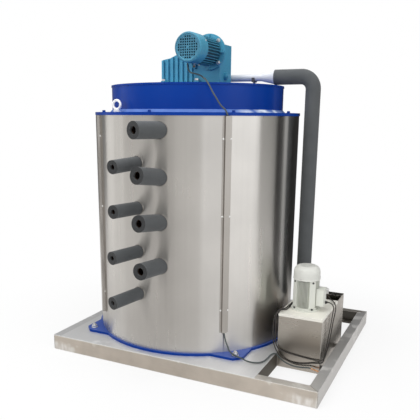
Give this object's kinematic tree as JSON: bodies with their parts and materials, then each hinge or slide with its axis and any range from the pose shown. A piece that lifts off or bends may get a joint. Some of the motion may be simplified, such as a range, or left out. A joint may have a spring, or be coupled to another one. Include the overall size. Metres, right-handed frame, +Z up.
{
  "type": "flake ice machine",
  "caption": "Drum-type flake ice machine on a skid: steel-jacketed evaporator with insulated stubs, geared scraper drive on top, and a water tank with pump and riser.",
  "frame": {"origin": "floor level under the middle of the whole machine's outline, with its front stubs and without its cables", "axes": "+X to the tank's end along the skid, +Y from the stubs to the rear, +Z up"},
  "size_m": [1.6, 1.4401, 1.813],
  "materials": {
    "skid_steel": "folded stainless sheet, satin",
    "deck_sheet": "pale satin stainless sheet",
    "blue_paint": "gloss royal blue paint",
    "fasteners": "zinc plated",
    "foam_core": "rigid insulating foam",
    "jacket_sheet": "brushed stainless sheet",
    "copper": "drawn copper tube",
    "pipe_foam": "closed cell pipe foam, matt",
    "inner_steel": "machined stainless",
    "bronze": "cast bronze",
    "white_pipe": "white pipe plastic",
    "rubber": "food rubber",
    "teal_paint": "semi gloss teal paint on castings",
    "black_plastic": "moulded black plastic",
    "tank_sheet": "stainless sheet",
    "grey_paint": "pale grey paint",
    "cable_sheath": "dark flexible sheath"
  },
  "bodies": {
    "machine": {"front_beam": "skid_steel", "rear_beam": "skid_steel", "left_beam": "skid_steel", "right_beam": "skid_steel", "cross_beam": "skid_steel", "deck_plate": "deck_sheet", "tank_bars": "skid_steel", "base_flange": "blue_paint", "lug_bolts": "fasteners", "evaporator_drum": "blue_paint", "foam_insulation": "foam_core", "front_panel": "jacket_sheet", "right_panel": "jacket_sheet", "rear_panel": "jacket_sheet", "left_panel": "jacket_sheet", "seam_strips": "jacket_sheet", "strip_screws": "fasteners", "top_flange": "blue_paint", "flange_bolts": "fasteners", "lifting_eyes": "blue_paint", "top_cover": "blue_paint", "suction_tubes": "copper", "liquid_tubes": "copper", "suction_sleeves": "pipe_foam", "liquid_sleeves": "pipe_foam", "water_gutter": "inner_steel", "return_pipe": "white_pipe", "bottom_spider": "inner_steel", "lower_bearing": "bronze", "upper_bearing": "inner_steel", "reducer_housing": "teal_paint", "drive_bolts": "fasteners", "motor_frame": "teal_paint", "motor_cowl": "teal_paint", "motor_terminal_box": "teal_paint", "cable_glands": "black_plastic", "water_tank": "tank_sheet", "tank_lid": "tank_sheet", "pump_base": "grey_paint", "pump_motor_frame": "grey_paint", "pump_cowl": "grey_paint", "pump_terminal_box": "grey_paint", "switch_bracket": "tank_sheet", "level_switch": "black_plastic", "float_valve": "bronze", "riser_sleeve": "pipe_foam", "supply_pipe": "white_pipe", "pipe_support": "black_plastic", "motor_cable": "cable_sheath", "pump_cable": "cable_sheath", "level_cable": "cable_sheath"},
    "rotor": {"main_shaft": "inner_steel", "scraper_carrier": "inner_steel", "water_pan": "inner_steel", "squeegee": "rubber"},
    "scraper": {"scraper_roller": "inner_steel"},
    "motor_rotor": {"motor_fan": "black_plastic"},
    "pump_turning": {"pump_rotor": "black_plastic"},
    "level_float": {"switch_float": "white_pipe"},
    "valve_arm": {"float_arm": "bronze"}
  },
  "joints": [
    {"name": "main_spin", "type": "hinge", "parent": "machine", "child": "rotor", "pos_m": [-0.17, 0.07, 0.8], "axis": [0, 0, 1], "continuous": true},
    {"name": "scraper_spin", "type": "hinge", "parent": "rotor", "child": "scraper", "pos_m": [-0.17, 0.497, 0.8], "axis": [0, 0, 1], "continuous": true},
    {"name": "motor_spin", "type": "hinge", "parent": "machine", "child": "motor_rotor", "pos_m": [-0.047, -0.2, 1.716], "axis": [0, 1, 0], "continuous": true},
    {"name": "pump_spin", "type": "hinge", "parent": "machine", "child": "pump_turning", "pos_m": [0.583, -0.072, 0.4], "axis": [0, 0, 1], "continuous": true},
    {"name": "float_slide", "type": "slide", "parent": "machine", "child": "level_float", "axis": [0, 0, 1], "range_m": [-0.045, 0.08]},
    {"name": "valve_swing", "type": "hinge", "parent": "machine", "child": "valve_arm", "pos_m": [0.56, 0.262, 0.264], "axis": [1, 0, 0], "range_deg": [-8, 20]}
  ],
  "couplings": [
    {"joint": "motor_spin", "follows": "main_spin", "ratio": 481.5}
  ]
}
